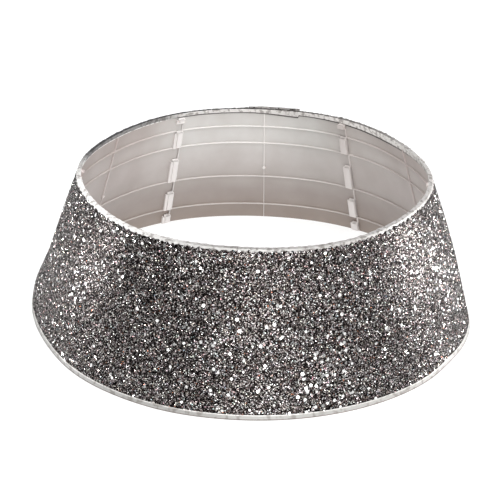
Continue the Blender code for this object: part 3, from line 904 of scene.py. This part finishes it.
    def build(self) -> list[bpy.types.Object]:
        """Make the six panels."""
        mesh = bmesh.new()
        mesh.verts.layers.float.new(MILKY_AND_LIT)
        self.add_wall(mesh)
        self.add_centre(mesh)
        self.add_clips(mesh)
        bmesh.ops.recalc_face_normals(mesh, faces=mesh.faces)
        first = make_object("wall_panel_1", mesh, self.finish)
        pieces = [first]
        for index in range(1, SHAPE.panel_count):
            name = f"wall_panel_{index + 1}"
            copy = bpy.data.objects.new(name, first.data.copy())
            copy.data.name = name
            bpy.context.scene.collection.objects.link(copy)
            pieces.append(copy)
        for index, piece in enumerate(pieces):
            turn = SHAPE.first_panel + index * 2 * self.half
            piece.data.transform(Matrix.Rotation(-turn, 4, "Z"))
            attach(piece, Body.FRAME.value)
            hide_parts(f"frame_panel_{index + 1}")
        return pieces


class FlakeKind(Enum):
    """The sorts of flake in the mix, each with its sRGB hex colour."""

    BLACK = "#070606"
    GUNMETAL = "#262120"
    SLATE = "#544c4a"
    GREY = "#8b8280"
    SILVER = "#c9c3c0"
    WHITE = "#fdfcfb"
    COPPER = "#9c6f5c"
    ROSE = "#a98f90"
    ICE = "#93a3a9"


@dataclass(frozen=True)
class Shine:
    """A place on the cover where the flakes are painted lighter and more of them are white sparks: painted light
    and painted glints.
    """

    azimuth: float
    height: float
    half_width: float
    reach: float
    sparks: float
    light: float = 0.0

    def at(self, azimuth: np.ndarray, height: np.ndarray) -> np.ndarray:
        """How much of this place there is at an azimuth and height, 0 to 1."""
        aside = (azimuth - self.azimuth + math.pi) % math.tau - math.pi
        return SHAPE.bump(aside, self.half_width) * SHAPE.bump(height - self.height, self.reach)


@dataclass
class FlakeField:
    """Glitter flakes glued over one stretch of the cloth. Each is one hexagon."""

    count: int = 32768
    radii: tuple[float, float] = (0.55 * MM, 1.05 * MM)
    # Sparks: bigger, flatter white flakes that stand in for glints, painted glints
    spark_radii: tuple[float, float] = (1.9 * MM, 2.9 * MM)
    tilt: float = 0.34
    spark_tilt: float = 0.12
    lifts: tuple[float, float] = (0.15 * MM, 0.75 * MM)
    spark_lift: float = 1.0 * MM
    overlap: float = 0.8 * MM
    spark_share: float = 0.0026
    patch: float = 0.05
    patch_sizes: tuple[float, float] = (5 * MM, 22 * MM)
    patch_seeds: tuple[int, int, int] = (61, 67, 71)
    mix: Mapping[FlakeKind, float] = field(default_factory=lambda: {
        FlakeKind.BLACK: 0.41, FlakeKind.GUNMETAL: 0.15, FlakeKind.SLATE: 0.10, FlakeKind.GREY: 0.09,
        FlakeKind.SILVER: 0.12, FlakeKind.WHITE: 0.08, FlakeKind.COPPER: 0.012, FlakeKind.ROSE: 0.030,
        FlakeKind.ICE: 0.008})
    # Painted light: where the flakes are painted lighter and more of them are white sparks
    shines: tuple[Shine, ...] = (
        Shine(math.radians(161), 0.055, math.radians(6), 0.035, 0.030, 0.45),
        Shine(math.radians(112), 0.150, math.radians(16), 0.070, 0.008, 0.20),
        Shine(math.radians(95), 0.160, math.radians(26), 0.120, 0.002, 0.30),
        Shine(math.radians(262), 0.190, math.radians(20), 0.080, 0.002, 0.30),
        Shine(math.radians(262), 0.060, math.radians(20), 0.080, 0.001, 0.10),
    )
    finish: GlitterFilm = field(default_factory=GlitterFilm)

    def heights(self, share: np.ndarray) -> np.ndarray:
        """Heights that spread flakes evenly over a cone, which has more cloth low down."""
        low = SHAPE.lay_gap + SHAPE.hem_leg - self.overlap
        high = SHAPE.height - SHAPE.outer_leg + self.overlap
        base, slope = SHAPE.cloth_face(low), (SHAPE.cloth_face(low) - SHAPE.cloth_face(high)) / (high - low)
        span = high - low
        area = base * span - slope * span ** 2 / 2
        return low + (base - np.sqrt(base ** 2 - 2 * slope * area * share)) / slope

    def frames(self, azimuth: np.ndarray, offset: np.ndarray, height: np.ndarray, tilt: np.ndarray,
               draw: np.random.Generator) -> tuple[np.ndarray, np.ndarray]:
        """Where each flake lies and how it is turned.

        Returns:
            The flakes' middles, and each flake's three directions, the third one outwards.
        """
        reach = 1 * MM
        middle = SHAPE.on_cover(azimuth, offset, height)
        around = SHAPE.on_cover(azimuth + reach, offset, height) - SHAPE.on_cover(azimuth - reach, offset, height)
        upward = SHAPE.on_cover(azimuth, offset, height + reach) - SHAPE.on_cover(azimuth, offset, height - reach)
        around /= np.linalg.norm(around, axis=1, keepdims=True)
        upward /= np.linalg.norm(upward, axis=1, keepdims=True)
        outward = np.cross(upward, around)
        lean = draw.normal(0, 1, (2, len(azimuth), 1)) * tilt[:, None]
        outward = outward + lean[0] * around + lean[1] * upward
        outward /= np.linalg.norm(outward, axis=1, keepdims=True)
        first = np.cross(outward, upward)
        first /= np.linalg.norm(first, axis=1, keepdims=True)
        second = np.cross(outward, first)
        spin = draw.uniform(0, math.tau, (len(azimuth), 1))
        turned = np.cos(spin) * first + np.sin(spin) * second
        return middle, np.stack([turned, np.cross(outward, turned), outward], axis=1)

    def colours(self, sparks: np.ndarray, light: np.ndarray, where: tuple[np.ndarray, np.ndarray],
                draw: np.random.Generator) -> np.ndarray:
        """Each flake's linear colour.

        Args:
            sparks: Which flakes are white sparks, painted glints.
            light: How much lighter each one is painted, from the shines: painted light.
            where: How far round and how high each one lies, for soft patches of brown, green and purple grey.
            draw: Where the random choices come from.

        Returns:
            One linear RGBA row for each flake.
        """
        kinds = list(self.mix)
        weights = np.array([self.mix[kind] for kind in kinds])
        picked = draw.choice(len(kinds), len(sparks), p=weights / weights.sum())
        palette = np.array([linear(kind.value) for kind in kinds])
        colours = palette[picked]
        # Random tone, and painted light from the shines
        colours[:, :3] *= (draw.uniform(0.7, 1.3, len(sparks)) * (1 + light))[:, None]
        for channel, seed in enumerate(self.patch_seeds):
            colours[:, channel] *= 1 + self.patch * Crinkle(seed, *self.patch_sizes)(*where)
        # Sparks are painted white: painted glints
        colours[sparks] = linear(FlakeKind.WHITE.value)
        return np.clip(colours, 0, 1)

    def build(self, name: str, start: float, end: float, offset: float, seed: int) -> bpy.types.Object:
        """Strew flakes between two azimuths.

        Args:
            name: The piece's name.
            start: The azimuth that it starts at.
            end: The azimuth that it ends at.
            offset: How far out the cloth's face lies there, over the cover's own line.
            seed: What the random places are drawn from.

        Returns:
            One mesh that holds all the flakes.
        """
        mesh = bmesh.new()
        bmesh.ops.create_circle(mesh, cap_ends=True, segments=6, radius=1.0)
        copies(mesh, self.count)
        made = make_object(name, mesh, self.finish, smooth=False)
        data = made.data
        draw = np.random.default_rng(seed)
        azimuth = draw.uniform(start, end, self.count)
        height = self.heights(draw.uniform(0, 1, self.count))
        lift = draw.uniform(*self.lifts, self.count)
        chance = self.spark_share + sum(shine.sparks * shine.at(azimuth, height) for shine in self.shines)
        light = sum(shine.light * shine.at(azimuth, height) for shine in self.shines)
        sparks = draw.uniform(0, 1, self.count) < chance
        radius = np.where(sparks, draw.uniform(*self.spark_radii, self.count),
                          draw.uniform(*self.radii, self.count))
        lift[sparks] = self.spark_lift
        tilt = np.where(sparks, self.spark_tilt, self.tilt)
        middle, axes = self.frames(azimuth, offset + lift, height, tilt, draw)
        flake, local = spread_copies(data, middle, axes, radius)
        tint = self.colours(sparks, light, (azimuth * SHAPE.base_radius, height), draw)[flake]
        data.attributes.new(FLAKE_COLOUR, "FLOAT_COLOR", "POINT").data.foreach_set("color", tint.ravel())
        self.unwrap(data, flake, local)
        return made

    def unwrap(self, data: bpy.types.Mesh, flake: np.ndarray, local: np.ndarray) -> None:
        """Give each flake a small square of its own to bake into."""
        across = math.ceil(math.sqrt(self.count))
        fill = 0.4
        square = np.stack([flake % across, flake // across], axis=-1) + 0.5 + fill * local[:, :2]
        set_map(data, BAKE_MAP, square / across)


@dataclass
class Cover:
    """The glitter cloth round the ring, up to where its closure begins, with its tapes and loop strip."""

    seam: float = math.radians(348)
    columns: int = 360
    rows: int = 28
    flake_pieces: int = 6
    rim_dip: float = 0.0050
    rim_crumple: float = 0.55 * MM
    more_crumple: float = 1.3
    crumpled_azimuth: float = math.radians(35)
    crumpled_angle: float = math.radians(21)
    loose_leg: float = 0.0065
    loose_azimuth: float = math.radians(54)
    loose_angle: float = math.radians(22)
    ragged: float = 1.4 * MM
    strip_width: float = 0.0220
    strip_edge: float = 0.0060
    strip_end_gap: float = 0.0040
    cloth_finish: GlueBed = field(default_factory=GlueBed)
    tape_finish: SilverTape = field(default_factory=SilverTape)
    hem_finish: SilverTape = HEM_TAPE
    strip_finish: FineWeave = field(default_factory=FineWeave)
    flakes: FlakeField = field(default_factory=FlakeField)

    def cloth_heights(self, share: np.ndarray) -> np.ndarray:
        """Heights from the cloth's foot to its top."""
        low = SHAPE.tape_over + SHAPE.lay_gap
        return low + share * (SHAPE.height - SHAPE.tape_over - low)

    def lay_cloth(self, offset: float) -> Callable[[np.ndarray, np.ndarray], np.ndarray]:
        """A way to lay cloth with its outer face at an offset."""
        return lambda azimuth, share: SHAPE.on_cover(azimuth, offset - SHAPE.cloth / 2, self.cloth_heights(share))

    def lay_fold(self, path: Sequence[tuple[float, float]], seed: int,
                 crumple: float) -> Callable[[np.ndarray, np.ndarray], np.ndarray]:
        """A way to lay folded tape along a path of (offset, height) points, with a crumpled surface."""
        rough = Crinkle(seed, 6 * MM, 40 * MM)

        def lie(azimuth: np.ndarray, share: np.ndarray) -> np.ndarray:
            offset, height = along_path(path, share)
            along = azimuth * SHAPE.top_radius
            ripple = crumple * rough(along, share * 20 * MM)
            return SHAPE.on_cover(azimuth, offset + ripple, np.maximum(height + 0.5 * ripple, 0.4 * MM))
        return lie

    def lay_rim(self, azimuth: np.ndarray, share: np.ndarray) -> np.ndarray:
        """Lay the rim tape from its inner leg, over the panels and the cloth, to its outer leg."""
        thick = SHAPE.tape / 2
        leg_end = SHAPE.height - SHAPE.rim_leg
        outer_end = SHAPE.height - SHAPE.outer_leg
        top = SHAPE.height - thick
        inside = SHAPE.lay_gap + thick
        gap = SHAPE.cloth_face(top) - SHAPE.panel_face(top)
        path = [(-inside - gap, leg_end), (-inside - gap, top - 0.4 * MM), (-inside - gap + 0.4 * MM, top),
                (inside - 0.4 * MM, top), (inside, top - 0.4 * MM), (inside, outer_end)]
        offset, height = along_path(path, share)
        along = azimuth * SHAPE.top_radius
        lap = (azimuth - SHAPE.flap_start) / (SHAPE.flap_end - SHAPE.flap_start)
        dip = np.where(lap < 1, self.rim_dip * SHAPE.smooth(lap), 0)
        loose = self.loose_leg * SHAPE.bump(azimuth - self.loose_azimuth, self.loose_angle)
        down = (top - height) / SHAPE.rim_leg * (offset < -gap / 2)
        out = (top - height) / SHAPE.outer_leg * (offset > 0)
        frayed = Crinkle(37, 3 * MM, 12 * MM)(along, 0 * along)
        height = height - down * (dip + loose) - out * self.ragged * frayed
        rough = Crinkle(31, 5 * MM, 26 * MM, (math.radians(20), math.radians(70)))
        wilder = 1 + self.more_crumple * SHAPE.bump(azimuth - self.crumpled_azimuth, self.crumpled_angle)
        crumple = self.rim_crumple * wilder * rough(along, share * 20 * MM)
        lean = np.where(offset < -gap / 2, SHAPE.panel_face(height) + gap, SHAPE.cloth_face(height))
        shift = np.where(offset < -gap / 2, SHAPE.lobe(azimuth), SHAPE.cover_shift(azimuth, height))
        radius = lean + offset + shift + np.where(offset < 0, -np.abs(crumple), np.abs(crumple))
        return SHAPE.place(azimuth, radius, height + 0.5 * np.abs(crumple) - 0.2 * MM)

    def hem_path(self, offset: float) -> list[tuple[float, float]]:
        """The hem tape's path from its inner leg, under the cloth, to its outer leg."""
        thick = SHAPE.tape / 2
        low, high = SHAPE.lay_gap + thick, SHAPE.lay_gap + SHAPE.hem_leg
        inner = offset - SHAPE.cloth - SHAPE.lay_gap - thick
        outer = offset + SHAPE.lay_gap + thick
        return [(inner, high), (inner, low), (outer, low), (outer, high)]

    def flap_rim_path(self, offset: float) -> list[tuple[float, float]]:
        """The flap's own rim tape, folded over its cloth with both legs as long."""
        thick = SHAPE.tape / 2
        top, end = SHAPE.height - thick, SHAPE.height - SHAPE.outer_leg
        inner = offset - SHAPE.cloth - SHAPE.lay_gap - thick
        outer = offset + SHAPE.lay_gap + thick
        return [(inner, end), (inner, top), (outer, top), (outer, end)]

    def strip_span(self) -> tuple[float, float]:
        """Azimuths of a fastener strip's two edges."""
        foot = SHAPE.cloth_radii[0]
        end = SHAPE.flap_end - self.strip_edge / foot
        return end - self.strip_width / foot, end

    def lay_strip(self, inner: float) -> Callable[[np.ndarray, np.ndarray], np.ndarray]:
        """A way to lay a fastener strip with its inner face at an offset."""
        low = SHAPE.lay_gap + SHAPE.hem_leg + self.strip_end_gap
        high = SHAPE.height - SHAPE.rim_leg - self.strip_end_gap
        return lambda azimuth, share: SHAPE.on_cover(azimuth, inner + SHAPE.tape / 2, low + share * (high - low))

    def declare(self, piece: bpy.types.Object, start: float, end: float) -> None:
        """Does nothing with the piece or its two azimuths: it is not marked as a sheet of cloth."""

    def build(self) -> list[bpy.types.Object]:
        """Make the cover's own pieces, all but the part that crosses the hinge."""
        around = (SHAPE.flap_start, self.seam)
        cloth = wrapped_strip("cover_cloth", around, (self.columns, self.rows), self.cloth_finish,
                              self.lay_cloth(0.0))
        thicken(cloth, SHAPE.cloth, CLOTH_BACK)
        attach(cloth, Body.COVER.value)
        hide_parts("glitter_cover")
        self.declare(cloth, *around)
        whole = (SHAPE.flap_start, SHAPE.flap_start + math.tau)
        rim = wrapped_strip("rim_tape", whole, (900, 20), self.tape_finish, self.lay_rim)
        hem = wrapped_strip("hem_tape", whole, (720, 14), self.hem_finish,
                            self.lay_fold(self.hem_path(0.0), 47, 0.12 * MM))
        loops = wrapped_strip("loop_tape", self.strip_span(), (8, 60), self.strip_finish,
                              self.lay_strip(SHAPE.lay_gap))
        pieces = [cloth, rim, hem, loops]
        for piece, node, slot in ((rim, "top_binding", Slot.TAPE), (hem, "bottom_binding", Slot.TAPE),
                                  (loops, "loop_strip", Slot.FASTENER)):
            thicken(piece, SHAPE.tape)
            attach(piece, Body.COVER.value)
            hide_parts(node)
        step = (self.seam - SHAPE.flap_start) / self.flake_pieces
        for index in range(self.flake_pieces):
            start = SHAPE.flap_start + index * step
            field_piece = self.flakes.build(f"cover_glitter_{index + 1}", start, start + step, 0.0, 101 + index)
            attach(field_piece, Body.COVER.value)
            pieces.append(field_piece)
        return pieces


@dataclass
class Closure:
    """The part of the cover that crosses the hinge and peels open, with its tapes and hook strip."""

    cover: Cover
    bend: float = 0.0120
    rim_raise: float = 0.0022
    rim_finish: SilverTape = LAP_TAPE
    finish: FineWeave = field(default_factory=FineWeave)

    def hinge_point(self, across: float) -> Vector:
        """A point level with the hinge line's middle, across clockwise from it."""
        height = SHAPE.height / 2
        radius = SHAPE.cloth_face(height) + SHAPE.flap_outer + SHAPE.tape_over
        azimuth = SHAPE.flap_start
        place = Vector((radius * math.sin(azimuth), radius * math.cos(azimuth), height))
        return place + across * Vector((math.cos(azimuth), -math.sin(azimuth), 0))

    def cross_hinge(self, piece: bpy.types.Object) -> None:
        """Let a piece bend smoothly from the cover into the flap."""
        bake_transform(piece, Body.COVER.value, Body.FLAP.value, start=self.hinge_point(-self.bend),
                 end=self.hinge_point(self.bend))

    def build(self) -> list[bpy.types.Object]:
        """Make the closure's pieces."""
        start, end = self.cover.seam, SHAPE.flap_end + math.tau
        cloth = wrapped_strip("closure_cloth", (start, end), (56, self.cover.rows), self.cover.cloth_finish,
                              self.cover.lay_cloth(0.0))
        thicken(cloth, SHAPE.cloth, CLOTH_BACK)
        self.cross_hinge(cloth)
        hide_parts("closure_flap")
        self.cover.declare(cloth, start, end)
        flakes = FlakeField(count=16384).build("closure_glitter", start, end, 0.0, 171)
        self.cross_hinge(flakes)
        slit = SHAPE.flap_start + SHAPE.flap_slit / SHAPE.top_radius
        around = (slit, SHAPE.flap_end)
        rim_path = [(across, height + self.rim_raise)
                    for across, height in self.cover.flap_rim_path(SHAPE.flap_outer)]
        rim = wrapped_strip("closure_rim_tape", around, (60, 14), self.rim_finish,
                            self.cover.lay_fold(rim_path, 53, 0.45 * MM))
        hem = wrapped_strip("closure_hem_tape", around, (60, 14), self.cover.hem_finish,
                            self.cover.lay_fold(self.cover.hem_path(SHAPE.flap_outer), 59, 0.12 * MM))
        hooks = wrapped_strip("hook_tape", self.cover.strip_span(), (8, 60), self.finish,
                              self.cover.lay_strip(SHAPE.flap_inner - SHAPE.tape_over))
        for piece, node, slot in ((rim, "flap_top_binding", Slot.TAPE), (hem, "flap_bottom_binding", Slot.TAPE),
                                  (hooks, "hook_strip", Slot.FASTENER)):
            thicken(piece, SHAPE.tape)
            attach(piece, Body.FLAP.value)
            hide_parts(node)
        return [cloth, flakes, rim, hem, hooks]


@dataclass(frozen=True)
class Softbox:
    """One soft area light."""

    name: str
    place: tuple[float, float, float]
    size: float
    power: float


@dataclass
class Studio:
    """A pale floor, soft light and the camera at the photograph's viewing angle."""

    frame_pixels: int = 500
    focal_pixels: float = 1647.0
    axis_right_pixels: float = 3.2
    camera_back: float = 2.376
    camera_height: float = 1.271
    pitch_down: float = math.radians(26.25)
    roll: float = math.radians(1.22)
    floor_size: float = 30.0
    world: float = 0.20
    lights: tuple[Softbox, ...] = (
        Softbox("overhead", (0.0, -0.2, 2.3), 3.0, 45.0),
        Softbox("front_low", (0.3, -3.2, 0.85), 1.6, 27.0),
        Softbox("front_high", (0.3, -1.7, 2.5), 2.2, 60.0),
        Softbox("key", (2.6, -1.6, 1.9), 1.4, 14.0),
        Softbox("rear_high", (0.4, 3.0, 2.0), 2.0, 30.0),
        Softbox("rear_low", (-0.3, 3.2, 0.85), 1.6, 45.0),
        # These two stand lower than the rim, so they light the cover's sides and not the ring's inside
        Softbox("left_low", (-1.88, 0.12, 0.20), 0.25, 14.0),
        Softbox("right_low", (1.81, 0.22, 0.20), 0.25, 21.0),
    )

    def build(self) -> None:
        """Set the stage."""
        scene = bpy.context.scene
        scene.view_settings.view_transform = "Standard"
        mesh = bmesh.new()
        bmesh.ops.create_grid(mesh, x_segments=1, y_segments=1, size=self.floor_size / 2)
        floor = make_object("studio_floor", mesh, OpalTable(), smooth=False)
        world = bpy.data.worlds.new("studio")
        world.use_nodes = True
        background = world.node_tree.nodes["Background"]
        background.inputs["Color"].default_value = (1, 1, 1, 1)
        background.inputs["Strength"].default_value = self.world
        scene.world = world
        for light in self.lights:
            lamp = bpy.data.lights.new(light.name, "AREA")
            lamp.energy = light.power
            lamp.size = light.size
            holder = bpy.data.objects.new(light.name, lamp)
            holder.location = light.place
            aim = Vector((0, 0, 0.1)) - Vector(light.place)
            holder.rotation_euler = aim.to_track_quat("-Z", "Y").to_euler()
            holder.visible_camera = False
            scene.collection.objects.link(holder)
        self.add_camera()

    def add_camera(self) -> None:
        """Stand the camera where the photograph was taken from."""
        lens = bpy.data.cameras.new("camera")
        lens.lens = self.focal_pixels / self.frame_pixels * lens.sensor_width
        lens.shift_x = -self.axis_right_pixels / self.frame_pixels
        camera = bpy.data.objects.new("camera", lens)
        stand = Matrix.Translation((0, -self.camera_back, self.camera_height))
        tip = Matrix.Rotation(math.pi / 2 - self.pitch_down, 4, "X")
        camera.matrix_world = stand @ tip @ Matrix.Rotation(self.roll, 4, "Z")
        bpy.context.scene.collection.objects.link(camera)
        bpy.context.scene.camera = camera


def main() -> None:
    """Dress the collar."""
    logging.basicConfig(level=logging.INFO, format="%(name)s: %(message)s")
    for item in list(bpy.data.objects):
        bpy.data.objects.remove(item)
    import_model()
    Studio().build()
    cover = Cover()
    for group in (WallPanels(), cover, Closure(cover)):
        for piece in group.build():
            LOG.info("%s: %d faces", piece.name, len(piece.data.polygons))


if __name__ == "__main__":
    main()
